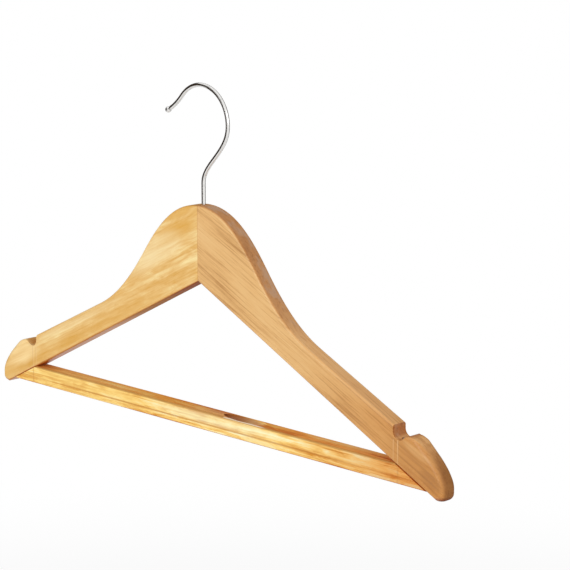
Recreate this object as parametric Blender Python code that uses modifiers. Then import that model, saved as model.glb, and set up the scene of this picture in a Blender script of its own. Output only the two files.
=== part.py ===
"""Wooden clothes hanger: two glued arms, a trouser bar and a wire hook that swivels.

Metres, +Z up. The board lies in the XZ plane with its front face towards -Y. The origin is inside
the top of the hook, straight above the stem, where a rail carries the hanger.
"""

import math

import bmesh
import bpy
from mathutils import Vector

# General fits
CLEARANCE = 0.0003
MERGE = 0.00002
FLAT_ANGLE = math.radians(0.1)

# Board that both arms are cut from
BOARD_THICKNESS = 0.012
HALF_WIDTH = 0.2200
SEAM_HEIGHT = 0.0518
EDGE_RADIUS = 0.0024
EDGE_SEGMENTS = 3

# Top edge of an arm: crown over the seam, steepest point of the shoulder, start of the straight run
CROWN_REACH = 0.025
SHOULDER_OUT = 0.056
SHOULDER_DROP = 0.0383
SHOULDER_TILT = math.radians(53.5)
SHOULDER_PULL = 0.0244
RUN_OUT = 0.104
RUN_DROP = 0.0820
RUN_TILT = math.radians(25.4)
RUN_PULL = 0.021

# Underside of an arm
UNDERSIDE_TILT = math.radians(26.5)

# Strap notch and the rounded end outside it
NOTCH_FROM_END = 0.0374
NOTCH_RADIUS = 0.0050
NOTCH_DEPTH = 0.0089
NOTCH_RISE = math.radians(40)
CREST_REACH = 0.0083
CREST_HEIGHT = 0.0035
CREST_PULL = 0.0028
LOBE_PULL_TOP = 0.0090
LOBE_PULL_SIDE = 0.0105
END_FLAT = 0.0030
TIP_RADIUS = 0.0046

# Trouser bar between the undersides
BAR_HEIGHT = 0.013
BAR_EDGE_RADIUS = 0.0022
DISH_START = 0.0145
DISH_LENGTH = 0.044
DISH_DEPTH = 0.0045
DISH_LIP = 0.0013

# Nails that hold the bar
NAIL_RADIUS = 0.0008
NAIL_HEAD_RADIUS = 0.0016
NAIL_HEAD_HEIGHT = 0.0009
NAIL_BITE = 0.0075
NAIL_FROM_BAR_END = 0.0033
NAIL_STEPS = 12

# Wire hook
WIRE_RADIUS = 0.0014
STEM_HEIGHT = 0.015
SWAN_PULL_LOW = 0.0128
SWAN_PULL_HIGH = 0.0172
BOWL_RADIUS = 0.0255
BOWL_OFFSET = 0.0015
BOWL_RISE = 0.0547
BOWL_SWEEP = math.radians(131)
TAIL_LENGTH = 0.0206
TAIL_FLARE = math.radians(5.4)
BALL_RADIUS = 0.0021

# Swivel inside the wood
POCKET_DEPTH = 0.014
POCKET_RADIUS = 0.0040
WASHER_RADIUS = 0.0035
WASHER_THICKNESS = 0.0010
HEAD_RADIUS = 0.0026
HEAD_HEIGHT = 0.0022

# Heights measured from the origin
BOWL_INNER_RADIUS = BOWL_RADIUS - WIRE_RADIUS
CROWN_Z = -BOWL_RISE - math.sqrt(BOWL_INNER_RADIUS**2 - BOWL_OFFSET**2)
NOTCH_OUT = HALF_WIDTH - NOTCH_FROM_END
BAR_TOP_OUT = NOTCH_OUT - NAIL_FROM_BAR_END
BAR_TOP_Z = CROWN_Z - SEAM_HEIGHT - BAR_TOP_OUT * math.tan(UNDERSIDE_TILT)
BAR_BOTTOM_Z = BAR_TOP_Z - BAR_HEIGHT
POCKET_TOP_Z = CROWN_Z - SEAM_HEIGHT + POCKET_DEPTH


def bezier(start, pull_start, pull_end, end, steps):
    """Points along a cubic curve in the XZ plane, without its first point."""
    points = []
    for i in range(1, steps + 1):
        t = i / steps
        s = 1 - t
        points.append(
            start * s**3 + pull_start * 3 * t * s**2 + pull_end * 3 * t**2 * s + end * t**3
        )
    return points


def arc(centre, radius, start, end, steps):
    """Points along a circular arc in the XZ plane, both ends included."""
    angles = [start + (end - start) * i / steps for i in range(steps + 1)]
    return [centre + Vector((radius * math.cos(a), radius * math.sin(a))) for a in angles]


def underside_z(x):
    """Height of an arm's underside at a distance from the seam."""
    return CROWN_Z - SEAM_HEIGHT - math.tan(UNDERSIDE_TILT) * abs(x)


def underside_x(z):
    """Distance from the seam at which the underside reaches a height."""
    return (CROWN_Z - SEAM_HEIGHT - z) / math.tan(UNDERSIDE_TILT)


def run_z(x):
    """Height of the straight part of the top edge."""
    return CROWN_Z - RUN_DROP - math.tan(RUN_TILT) * (x - RUN_OUT)


def notch_floor_z():
    return run_z(NOTCH_OUT - NOTCH_RADIUS) - NOTCH_DEPTH


def downhill(tilt, length):
    """Step outwards and down at an angle below the horizontal."""
    return Vector((math.cos(tilt), -math.sin(tilt))) * length


def top_edge():
    """Crown, shoulder and straight run, from the seam to the notch."""
    crown = Vector((0, CROWN_Z))
    shoulder = Vector((SHOULDER_OUT, CROWN_Z - SHOULDER_DROP))
    run = Vector((RUN_OUT, CROWN_Z - RUN_DROP))
    steep = downhill(SHOULDER_TILT, SHOULDER_PULL)
    straight = downhill(RUN_TILT, RUN_PULL)
    points = [crown]
    points += bezier(crown, crown + Vector((CROWN_REACH, 0)), shoulder - steep, shoulder, 12)
    points += bezier(shoulder, shoulder + steep, run - straight, run, 10)
    lip_x = NOTCH_OUT - NOTCH_RADIUS
    points.append(Vector((lip_x, run_z(lip_x))))
    return points


def notch_edge():
    """Round floor of the strap notch, from its inner wall to the foot of its outer side."""
    centre = Vector((NOTCH_OUT, notch_floor_z() + NOTCH_RADIUS))
    return arc(centre, NOTCH_RADIUS, math.pi, 1.5 * math.pi + NOTCH_RISE, 9)


def lobe_edge(start):
    """Rounded end of an arm, from the notch over its crest and round the tip to the underside."""
    crest = Vector((NOTCH_OUT + CREST_REACH, notch_floor_z() + CREST_HEIGHT))
    centre_x = HALF_WIDTH - TIP_RADIUS
    centre_z = underside_z(centre_x) + TIP_RADIUS / math.cos(UNDERSIDE_TILT)
    centre = Vector((centre_x, centre_z))
    side = Vector((HALF_WIDTH, centre_z + END_FLAT))
    rise = Vector((math.cos(NOTCH_RISE), math.sin(NOTCH_RISE))) * CREST_PULL
    points = bezier(start, start + rise, crest - Vector((CREST_PULL, 0)), crest, 5)
    pull_start = crest + Vector((LOBE_PULL_TOP, 0))
    pull_end = side + Vector((0, LOBE_PULL_SIDE))
    points += bezier(crest, pull_start, pull_end, side, 12)
    points += arc(centre, TIP_RADIUS, 0, -math.pi / 2 - UNDERSIDE_TILT, 6)
    return points


def board_outline():
    """Closed outline of both arms together, clockwise from the crown."""
    notch = notch_edge()
    right = top_edge() + notch + lobe_edge(notch[-1]) + [Vector((0, underside_z(0)))]
    left = [Vector((-p.x, p.y)) for p in reversed(right[1:-1])]
    return right + left


def new_collection(name):
    collection = bpy.data.collections.new(name)
    bpy.context.scene.collection.children.link(collection)
    return collection


def add_object(name, mesh, collection):
    obj = bpy.data.objects.new(name, mesh)
    collection.objects.link(obj)
    return obj


def curve_mesh(name, points, half_thickness):
    """Closed solid between two flat copies of an outline given as (x, z) points."""
    curve = bpy.data.curves.new(name, "CURVE")
    curve.dimensions = "2D"
    curve.fill_mode = "BOTH"
    curve.extrude = half_thickness
    spline = curve.splines.new("POLY")
    spline.points.add(len(points) - 1)
    for target, point in zip(spline.points, points):
        target.co = (point.x, point.y, 0, 1)
    spline.use_cyclic_u = True
    return weld_curve(name, curve, math.pi / 2)


def weld_curve(name, curve, turn):
    """Mesh of a curve with its caps welded, turned about X."""
    holder = bpy.data.objects.new(name, curve)
    bpy.context.scene.collection.objects.link(holder)
    holder.rotation_euler.x = turn
    bpy.context.view_layer.update()
    evaluated = holder.evaluated_get(bpy.context.evaluated_depsgraph_get())
    mesh = bpy.data.meshes.new_from_object(evaluated)
    mesh.transform(holder.matrix_world)
    bpy.data.objects.remove(holder)
    bpy.data.curves.remove(curve)
    work = bmesh.new()
    work.from_mesh(mesh)
    bmesh.ops.remove_doubles(work, verts=work.verts, dist=MERGE)
    bmesh.ops.dissolve_limit(work, angle_limit=FLAT_ANGLE, verts=work.verts, edges=work.edges)
    bmesh.ops.recalc_face_normals(work, faces=work.faces)
    work.to_mesh(mesh)
    work.free()
    mesh.name = name
    return mesh


def round_edges(obj, radius, segments):
    bevel = obj.modifiers.new("rounded_edges", "BEVEL")
    bevel.width = radius
    bevel.segments = segments
    bevel.limit_method = "ANGLE"
    bevel.angle_limit = math.radians(50)
    bevel.use_clamp_overlap = False


def cut(obj, cutter, operation="DIFFERENCE"):
    boolean = obj.modifiers.new(cutter.name, "BOOLEAN")
    boolean.operation = operation
    boolean.object = cutter


def shade(obj):
    obj.data.shade_smooth()
    obj.data.set_sharp_from_angle(angle=math.radians(35))


def as_cutter(obj, name, cutters):
    """Move a helper object into the collection of cutters."""
    obj.name = name
    for collection in obj.users_collection:
        collection.objects.unlink(obj)
    cutters.objects.link(obj)
    obj.hide_render = True
    obj.display_type = "WIRE"
    return obj


def cylinder_cutter(name, radius, x, low, high, cutters):
    """Upright cylinder between two heights, on the board's middle plane."""
    bpy.ops.mesh.primitive_cylinder_add(
        vertices=24, radius=radius, depth=high - low, location=(x, 0, (low + high) / 2)
    )
    return as_cutter(bpy.context.object, name, cutters)


def block_cutter(name, low, high, cutters):
    """Box between two corners."""
    size = Vector(high) - Vector(low)
    bpy.ops.mesh.primitive_cube_add(size=1, location=(Vector(low) + Vector(high)) / 2)
    bpy.context.object.scale = size
    bpy.ops.object.transform_apply(location=False, rotation=False, scale=True)
    return as_cutter(bpy.context.object, name, cutters)


def turned(name, profile, collection, steps=24):
    """Solid turned about Z from (radius, height) points that run top to bottom."""
    mesh = bpy.data.meshes.new(name)
    edges = [(i, i + 1) for i in range(len(profile) - 1)]
    mesh.from_pydata([(radius, 0, height) for radius, height in profile], edges, [])
    obj = add_object(name, mesh, collection)
    screw = obj.modifiers.new("turn", "SCREW")
    screw.steps = steps
    screw.render_steps = steps
    screw.use_merge_vertices = True
    screw.merge_threshold = MERGE
    return obj


def wood_material(name, color):
    material = bpy.data.materials.new(name)
    material.use_nodes = True
    shader = material.node_tree.nodes["Principled BSDF"]
    shader.inputs["Base Color"].default_value = (*color, 1)
    shader.inputs["Roughness"].default_value = 0.42
    return material


def metal_material(name, color, roughness):
    material = bpy.data.materials.new(name)
    material.use_nodes = True
    shader = material.node_tree.nodes["Principled BSDF"]
    shader.inputs["Base Color"].default_value = (*color, 1)
    shader.inputs["Metallic"].default_value = 1
    shader.inputs["Roughness"].default_value = roughness
    return material


def swivel_cutters(cutters):
    """Bore for the stem and pocket for its head, both on the seam."""
    bore = cylinder_cutter(
        "stem_bore", WIRE_RADIUS + CLEARANCE, 0, POCKET_TOP_Z - WIRE_RADIUS, CROWN_Z + WIRE_RADIUS, cutters
    )
    pocket_low = CROWN_Z - SEAM_HEIGHT - POCKET_RADIUS
    pocket = cylinder_cutter("head_pocket", POCKET_RADIUS, 0, pocket_low, POCKET_TOP_Z, cutters)
    return bore, pocket


def nail_top_z():
    return notch_floor_z() + NAIL_HEAD_HEIGHT / 2


def nail_point_z():
    return min(underside_z(NOTCH_OUT), BAR_TOP_Z) - NAIL_BITE


def nail_cutters(side, cutters):
    """Hole for a nail and the recess for its head, in the notch's floor."""
    x = side * NOTCH_OUT
    name = "left" if side < 0 else "right"
    low = nail_point_z() - CLEARANCE
    hole = cylinder_cutter("nail_hole_" + name, NAIL_RADIUS + CLEARANCE, x, low, nail_top_z(), cutters)
    recess_low = nail_top_z() - NAIL_HEAD_HEIGHT - CLEARANCE
    recess_high = nail_top_z() + NOTCH_DEPTH
    recess_radius = NAIL_HEAD_RADIUS + CLEARANCE
    recess = cylinder_cutter("nail_recess_" + name, recess_radius, x, recess_low, recess_high, cutters)
    return hole, recess


def half_cutter(side, cutters):
    """Block that takes away the other arm and half of the glue line."""
    edge = side * CLEARANCE / 2
    far = -side * HALF_WIDTH * 1.2
    low = (min(edge, far), -BOARD_THICKNESS, underside_z(HALF_WIDTH) - BOARD_THICKNESS)
    high = (max(edge, far), BOARD_THICKNESS, CROWN_Z + BOARD_THICKNESS)
    return block_cutter("half_" + ("left" if side < 0 else "right"), low, high, cutters)


def make_arms(parts, cutters, nail_holes, wood, swivel_axis):
    """Left and right arm, cut from one board shape along the seam."""
    mesh = curve_mesh("arm_board", board_outline(), BOARD_THICKNESS / 2)
    swivel = swivel_cutters(cutters)
    for side, name in ((-1, "left_arm"), (1, "right_arm")):
        arm = add_object(name, mesh.copy(), parts)
        arm.parent = swivel_axis
        round_edges(arm, EDGE_RADIUS, EDGE_SEGMENTS)
        for cutter in (*swivel, *nail_holes[side], half_cutter(side, cutters)):
            cut(arm, cutter)
        arm.data.materials.append(wood)
        shade(arm)


def dish_cutter(cutters):
    """Ellipsoid that scoops a shallow dish into the bar's top, between two lips."""
    half_length = DISH_LENGTH / 2
    half_width = BOARD_THICKNESS / 2 - DISH_LIP
    centre = (DISH_START + half_length, 0, BAR_TOP_Z)
    bpy.ops.mesh.primitive_uv_sphere_add(segments=24, ring_count=12, radius=1, location=centre)
    bpy.context.object.scale = (half_length, half_width, DISH_DEPTH)
    bpy.ops.object.transform_apply(location=False, rotation=False, scale=True)
    return as_cutter(bpy.context.object, "dish", cutters)


def make_bar(parts, cutters, nail_holes, wood, swivel_axis):
    """Trouser bar, its ends cut to the slope of the arms' undersides."""
    slack = CLEARANCE / math.sin(UNDERSIDE_TILT)
    top_x = BAR_TOP_OUT - slack
    bottom_x = underside_x(BAR_BOTTOM_Z) - slack
    outline = [
        Vector((-top_x, BAR_TOP_Z)),
        Vector((top_x, BAR_TOP_Z)),
        Vector((bottom_x, BAR_BOTTOM_Z)),
        Vector((-bottom_x, BAR_BOTTOM_Z)),
    ]
    bar = add_object("trouser_bar", curve_mesh("bar_board", outline, BOARD_THICKNESS / 2), parts)
    bar.parent = swivel_axis
    work = bmesh.new()
    work.from_mesh(bar.data)
    weights = work.edges.layers.float.new("bevel_weight_edge")
    for edge in work.edges:
        along = abs(edge.verts[0].co.x - edge.verts[1].co.x) > top_x
        edge[weights] = 1.0 if along else 0.0
    work.to_mesh(bar.data)
    work.free()
    bevel = bar.modifiers.new("rounded_edges", "BEVEL")
    bevel.width = BAR_EDGE_RADIUS
    bevel.segments = EDGE_SEGMENTS
    bevel.limit_method = "WEIGHT"
    for cutter in (dish_cutter(cutters), nail_holes[-1][0], nail_holes[1][0]):
        cut(bar, cutter)
    bar.data.materials.append(wood)
    shade(bar)


def make_nails(parts, steel, swivel_axis):
    """Two nails through the notch floors into the bar."""
    top = nail_top_z()
    head_low = top - NAIL_HEAD_HEIGHT
    point = nail_point_z()
    profile = [
        (0, top),
        (NAIL_HEAD_RADIUS * 0.8, top),
        (NAIL_HEAD_RADIUS, top - NAIL_HEAD_HEIGHT * 0.3),
        (NAIL_HEAD_RADIUS, head_low),
        (NAIL_RADIUS, head_low),
        (NAIL_RADIUS, point + 2 * NAIL_RADIUS),
        (0, point),
    ]
    for side, name in ((-1, "left_bar_nail"), (1, "right_bar_nail")):
        nail = turned(name, profile, parts, NAIL_STEPS)
        nail.location.x = side * NOTCH_OUT
        nail.parent = swivel_axis
        nail.data.materials.append(steel)
        shade(nail)


def hook_path():
    """Centre line of the wire from its head in the wood to the ball, as (x, z) points."""
    foot = Vector((0, head_top_z() - HEAD_HEIGHT / 2))
    stem = Vector((0, CROWN_Z + STEM_HEIGHT))
    centre = Vector((-BOWL_OFFSET, CROWN_Z + BOWL_RISE))
    side = centre + Vector((BOWL_RADIUS, 0))
    points = [foot, Vector((0, CROWN_Z)), stem]
    pull_low = stem + Vector((0, SWAN_PULL_LOW))
    pull_high = side - Vector((0, SWAN_PULL_HIGH))
    points += bezier(stem, pull_low, pull_high, side, 16)
    points += arc(centre, BOWL_RADIUS, 0, BOWL_SWEEP, 28)[1:]
    outward = Vector((math.cos(BOWL_SWEEP), math.sin(BOWL_SWEEP)))
    tail_radius = TAIL_LENGTH / TAIL_FLARE
    tail_centre = centre + outward * (BOWL_RADIUS + tail_radius)
    start = BOWL_SWEEP + math.pi
    points += arc(tail_centre, tail_radius, start, start - TAIL_FLARE, 4)[1:]
    return points


def head_top_z():
    return POCKET_TOP_Z - WASHER_THICKNESS - 2 * CLEARANCE


def make_hook(parts, cutters, chrome):
    """Bent wire with a ball at its tip and an upset head at its foot."""
    path = hook_path()
    curve = bpy.data.curves.new("hook", "CURVE")
    curve.dimensions = "3D"
    curve.bevel_depth = WIRE_RADIUS
    curve.bevel_resolution = 2
    curve.use_fill_caps = True
    spline = curve.splines.new("POLY")
    spline.points.add(len(path) - 1)
    for target, point in zip(spline.points, path):
        target.co = (point.x, 0, point.y, 1)
    hook = add_object("hook", weld_curve("hook", curve, 0), parts)
    bpy.ops.mesh.primitive_uv_sphere_add(
        segments=20, ring_count=12, radius=BALL_RADIUS, location=(path[-1].x, 0, path[-1].y)
    )
    ball = as_cutter(bpy.context.object, "ball", cutters)
    top = head_top_z()
    profile = [
        (0, top),
        (HEAD_RADIUS, top),
        (HEAD_RADIUS, top - HEAD_HEIGHT * 0.7),
        (HEAD_RADIUS * 0.75, top - HEAD_HEIGHT),
        (0, top - HEAD_HEIGHT),
    ]
    head = as_cutter(turned("head", profile, parts), "head", cutters)
    cut(hook, ball, "UNION")
    cut(hook, head, "UNION")
    hook.data.materials.append(chrome)
    shade(hook)


def make_washer(parts, steel):
    """Washer between the hook's head and the ceiling of its pocket."""
    inner = WIRE_RADIUS + CLEARANCE
    top = POCKET_TOP_Z - CLEARANCE
    low = top - WASHER_THICKNESS
    profile = [(inner, low), (inner, top), (WASHER_RADIUS, top), (WASHER_RADIUS, low), (inner, low)]
    washer = turned("hook_washer", profile, parts)
    washer.data.materials.append(steel)
    shade(washer)


def main():
    for obj in list(bpy.data.objects):
        bpy.data.objects.remove(obj)
    parts = new_collection("wooden_clothes_hanger")
    cutters = new_collection("cutters")
    arm_wood = wood_material("arm_wood", (0.66, 0.40, 0.17))
    bar_wood = wood_material("bar_wood", (0.72, 0.43, 0.15))
    chrome = metal_material("chrome_wire", (0.78, 0.77, 0.75), 0.14)
    steel = metal_material("plain_steel", (0.45, 0.45, 0.45), 0.4)
    swivel_axis = add_object("swivel_axis", None, parts)
    nail_holes = {side: nail_cutters(side, cutters) for side in (-1, 1)}
    make_arms(parts, cutters, nail_holes, arm_wood, swivel_axis)
    make_bar(parts, cutters, nail_holes, bar_wood, swivel_axis)
    make_nails(parts, steel, swivel_axis)
    make_hook(parts, cutters, chrome)
    make_washer(parts, steel)


main()
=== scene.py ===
"""Looks of the wooden clothes hanger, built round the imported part.

Metres, +Z up, the board's front towards -Y, the origin inside the top of the hook.
"""

import math

import bmesh
import bpy
from mathutils import Matrix, Vector


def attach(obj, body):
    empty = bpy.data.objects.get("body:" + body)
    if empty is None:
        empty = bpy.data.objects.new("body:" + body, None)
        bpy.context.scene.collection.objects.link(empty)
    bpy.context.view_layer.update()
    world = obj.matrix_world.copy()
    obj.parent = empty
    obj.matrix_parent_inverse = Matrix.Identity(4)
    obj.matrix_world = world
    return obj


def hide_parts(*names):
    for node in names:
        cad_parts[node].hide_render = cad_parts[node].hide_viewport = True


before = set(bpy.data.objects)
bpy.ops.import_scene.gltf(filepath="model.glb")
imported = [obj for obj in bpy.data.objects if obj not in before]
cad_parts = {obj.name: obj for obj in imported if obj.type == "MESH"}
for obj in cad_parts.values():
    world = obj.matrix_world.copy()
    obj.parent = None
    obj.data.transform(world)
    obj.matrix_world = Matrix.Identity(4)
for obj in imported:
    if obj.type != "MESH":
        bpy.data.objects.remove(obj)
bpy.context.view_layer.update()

MILLIMETRE = 0.001

# Board, as in the part's source
BOARD_THICKNESS = 0.012
HALF_WIDTH = 0.2200
SEAM_HEIGHT = 0.0518
CROWN_REACH = 0.025
SHOULDER_OUT = 0.056
SHOULDER_DROP = 0.0383
SHOULDER_TILT = math.radians(53.5)
SHOULDER_PULL = 0.0244
RUN_OUT = 0.104
RUN_DROP = 0.0820
RUN_TILT = math.radians(25.4)
RUN_PULL = 0.021
UNDERSIDE_TILT = math.radians(26.5)
NOTCH_FROM_END = 0.0374
NOTCH_RADIUS = 0.0050
NOTCH_DEPTH = 0.0089
NOTCH_RISE = math.radians(40)
CREST_REACH = 0.0083
CREST_HEIGHT = 0.0035
CREST_PULL = 0.0028
LOBE_PULL_TOP = 0.0090
LOBE_PULL_SIDE = 0.0105
END_FLAT = 0.0030
TIP_RADIUS = 0.0046
TIP_LOWEST_TURN = math.radians(82.9)

# Rounding of the board's rim: along the arms, in the notch and round the nose
RIM_ROUNDING = 0.0016
NOTCH_ROUNDING = 0.0003
NOSE_ROUNDING = 0.0042
NOSE_SPARE = 0.00005
NOSE_LEAD = 0.014
RIM_SEGMENTS = 6
SEAM_GAP = 0.00008
SEAM_CHAMFER = 0.00018

# Trouser bar
BAR_HEIGHT = 0.013
BAR_ROUNDING = 0.0012
BAR_END_GAP = 0.00015
NAIL_FROM_BAR_END = 0.0033
SCORE_RISE = 0.0047
SCORE_WIDTH = 0.0005
SCORE_DEPTH = 0.00015
DISH_START = 0.0175
DISH_LENGTH = 0.044
DISH_DEPTH = 0.0045
DISH_LIP = 0.0007
DISH_TILT = math.radians(5)

# Nails and swivel
NAIL_RADIUS = 0.0008
NAIL_HEAD_RADIUS = 0.0016
NAIL_HEAD_HEIGHT = 0.0009
NAIL_BITE = 0.0075
FIT = 0.0003
WIRE_RADIUS = 0.0014
POCKET_DEPTH = 0.014
POCKET_RADIUS = 0.0040
WASHER_THICKNESS = 0.0010
HEAD_RADIUS = 0.0026
HEAD_HEIGHT = 0.0022
HEAD_FOOT_SHARE = 0.75
HEAD_TOP_SHARE = 0.94

# Hook
STEM_HEIGHT = 0.015
SWAN_PULL_LOW = 0.0128
SWAN_PULL_HIGH = 0.0172
BOWL_RADIUS = 0.0255
BOWL_OFFSET = 0.0015
BOWL_RISE = 0.0547
BOWL_SWEEP = math.radians(137)
HOOK_TIP = Vector((-0.03439, -0.01757))
TAIL_END_TILT = math.radians(26)
TAIL_PULL = 0.0062
BALL_RADIUS = 0.0021
WIRE_SIDES = 20
BALL_RINGS = 12
BALL_END = math.radians(174)

# Heights that follow from the sizes above
CROWN_Z = -BOWL_RISE - math.sqrt((BOWL_RADIUS - WIRE_RADIUS) ** 2 - BOWL_OFFSET**2)
NOTCH_OUT = HALF_WIDTH - NOTCH_FROM_END
BAR_TOP_OUT = NOTCH_OUT - NAIL_FROM_BAR_END
BAR_TOP_Z = CROWN_Z - SEAM_HEIGHT - BAR_TOP_OUT * math.tan(UNDERSIDE_TILT)
BAR_BOTTOM_Z = BAR_TOP_Z - BAR_HEIGHT
POCKET_TOP_Z = CROWN_Z - SEAM_HEIGHT + POCKET_DEPTH
HEAD_TOP_Z = POCKET_TOP_Z - WASHER_THICKNESS - 2 * FIT

# Limits while modelling: no distance, no change, smooth edges, sharp edges, faces square to X
SLACK = 0.00001
TINY = 1e-6
SMOOTH_ANGLE = math.radians(40)
SHARP_ANGLE = math.radians(35)
FACING = 0.99

# Fine marks in the finish: painted shade along the score line and the bar's upper front edge, and
# the pegs below the notches, drawn as a painted highlight beside groove shade
SCORE_SHADE_WIDTH = 0.0012
SCORE_FADE = 0.11
PEG_IN_FROM_NOTCH = 0.0027
PEG_WIDTH = 0.0036
PEG_LENGTH = 0.01826
LINE_WIDTH = 0.0007
ARM_SKIN = 0.00024
BAR_SKIN = 0.0006
SKIN_FADE = 0.0002
EDGE_SHADE_WIDTH = 0.00112
EDGE_SHADE_FADE = 0.0003

# Timber, in patches to the metre along, through and across the grain
SWAY_GRAIN = (9, 22, 26)
PATCH_GRAIN = (14, 38, 46)
STREAK_GRAIN = (8, 140, 165)
LINE_GRAIN = (24, 680, 800)
FIBRE_GRAIN = (34, 800, 950)
RIPPLE_GRAIN = (44, 180, 215)
PORE_GRAIN = (190, 2300, 2600)
MOTTLE_GRAIN = (60, 110, 60)
RING_SLANT = 0.7
RING_RISE = 0.25
RING_FALL = 0.92
LINE_EDGE = (0.48, 0.66)
PORE_EDGE = (0.1, 0.3)
MIDDLE_TONE = 0.55
FIBRE_TONE = 0.5
PORE_TONE = -0.14

# Sawn wood: how far a surface turns before it counts, and where the tints lie along X; the tints
# are sawn tone mixed with painted light and shade
RIM_TURN = (0.1, 0.55)
UNDER_TURN = (0.2, 0.7)
END_GRAIN_TURN = (0.05, 0.55)
RUN_SPAN = (0.05, 0.10)
FAR_SPAN = (0.07, 0.215)
NOSE_SPAN = (0.185, 0.215)
FAR_SHARE_ON_SIDE = 0.2
# Painted shade on the undersides, painted light on the long sides' tops along the run, and painted
# shadow deepening the nose's darker end grain
UNDERSIDE_PAINTED_SHADE = (0.56, 0.25, 0.06, 1)
SIDE_PAINTED_LIGHT = (1.10, 1.00, 0.94, 1)
NOSE_GRAIN_AND_SHADOW = (0.61, 0.67, 0.68, 1)

# Spots and marks, each share from its least to its most; many of these marks are painted light and
# shade
SPOT_EDGE = (0.1, 1.0)
SPOT_FILL = 0.8
MOTTLE_EDGE = (0.42, 0.62)
# Painted sheen: mottled pinkish grey along the middle of the arms' sawn tops
SHEEN_WIDTH = 0.003
SHEEN_WIDTH_FADE = 0.0024
SHEEN_END = 0.180
SHEEN_END_FADE = 0.02
SHEEN_SHARE = (0.10, 0.75)
PEG_SHARE = (0.25, 0.65)
SCORE_SHARE = (0.2, 0.65)
HOLLOW_SHARE = (0.15, 0.95)
EDGE_SHARE = 0.75
LIP_SHARE = 0.75
PEG_END_SHARE = 0.35
MOTTLED_SHEEN = (0.60, 0.38, 0.24, 1)
# Peg lines: a painted highlight beside the painted shade of a groove that is not modelled
PEG_GLINT = (0.95, 0.66, 0.34, 1)
PEG_GROOVE_SHADE = (0.45, 0.21, 0.07, 1)
PEG_BROWN = (0.55, 0.22, 0.04, 1)
# Painted shade along the bar's scored groove
SCORE_PAINTED_SHADE = (0.56, 0.22, 0.03, 1)
# Painted shade along the bar's upper front edge
EDGE_PAINTED_SHADE = (0.50, 0.25, 0.06, 1)
# Painted shade in the dish's hollow
HOLLOW_PAINTED_SHADE = (0.42, 0.14, 0.035, 1)
# Painted highlight on the dish's front lip
LIP_PAINTED_HIGHLIGHT = (0.92, 0.78, 0.58, 1)

# Lacquer over the timber, thinner where it is sawn
LACQUER_ROUGHNESS = 0.32
GRAIN_ROUGHNESS = 0.16
CUT_ROUGHNESS = 0.26
SHEEN = 0.28
COAT = 0.16
CUT_COAT = 0.02
COAT_ROUGHNESS = 0.2
GRAIN_BUMP = 0.3
GRAIN_DEPTH = 0.0002
FIGURE_CORE = 0.02
FIGURE_REACH = 0.085
FIGURE_LEFT_FAR_OUT = 0.55

# Metal, in patches to the metre
DULL_PATCHES = (220, 220, 220)
DRAWN_MARKS = (2400, 2400, 160)
DULL_EDGE = (0.5, 0.75)
DULL_SHADE = (0.82, 0.82, 0.82, 1)
DULL_ROUGHNESS = 0.14
SCRATCH_DEPTH = 0.00003

# Studio
SKY_FILL = 0.5
WHITE = (1, 1, 1, 1)
FLOOR_Z = -0.75
FLOOR_SIZE = 30
FLOOR_GREY = (0.86, 0.86, 0.86, 1)
FLOOR_FADE = (0.5, 1.6)
FLOOR_WHITE = 0.7
LIGHT_AIM = Vector((0, 0, -0.15))
CARD_DISTANCE = 1.2
CARD_HEIGHT = 1.65
CARD_FOOT_Z = -0.72
CARD_BROWN = (0.050, 0.034, 0.024, 1)
# First and last turn of each card about Z, in degrees
CARD_TURNS = {
    "back_dark_card": (56, 152),
    "left_dark_card": (152, 222),
    "front_dark_card": (222, 278),
}

# Camera that gives the photograph's view
CAMERA_PLACE = Vector((0.995802, -0.914650, 0.139280))
CAMERA_AZIMUTH = math.radians(45.126)
CAMERA_ELEVATION = math.radians(11.420)
CAMERA_ROLL = math.radians(-0.032)
CAMERA_LENS = 129.01
CAMERA_SENSOR = 36
CAMERA_CLIP = (0.05, 50)


# Outlines


def bezier(start, pull_start, pull_end, end, steps):
    """Points along a cubic curve in the XZ plane, without its first point."""
    points = []
    for i in range(1, steps + 1):
        t = i / steps
        s = 1 - t
        first_half = start * s**3 + pull_start * 3 * t * s**2
        points.append(first_half + pull_end * 3 * t**2 * s + end * t**3)
    return points


def arc(centre, radius, start, end, steps):
    """Points along a circular arc in the XZ plane, both ends included."""
    angles = [start + (end - start) * i / steps for i in range(steps + 1)]
    return [centre + Vector((radius * math.cos(a), radius * math.sin(a))) for a in angles]


def ray(angle, length):
    """Step of one length in the XZ plane, at an angle above +X."""
    return Vector((math.cos(angle), math.sin(angle))) * length


def underside_z(x):
    return CROWN_Z - SEAM_HEIGHT - math.tan(UNDERSIDE_TILT) * abs(x)


def run_z(x):
    return CROWN_Z - RUN_DROP - math.tan(RUN_TILT) * (x - RUN_OUT)


def notch_floor_z():
    return run_z(NOTCH_OUT - NOTCH_RADIUS) - NOTCH_DEPTH


def lobe_crest():
    return Vector((NOTCH_OUT + CREST_REACH, notch_floor_z() + CREST_HEIGHT))


def notch_edge():
    """Points down the notch's wall, round its floor and up to the crest of the lobe."""
    centre = Vector((NOTCH_OUT, notch_floor_z() + NOTCH_RADIUS))
    points = arc(centre, NOTCH_RADIUS, math.pi, 1.5 * math.pi + NOTCH_RISE, steps=18)
    foot, crest = points[-1], lobe_crest()
    pulls = foot + ray(NOTCH_RISE, CREST_PULL), crest - Vector((CREST_PULL, 0))
    return points + bezier(foot, *pulls, crest, steps=8)


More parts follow.
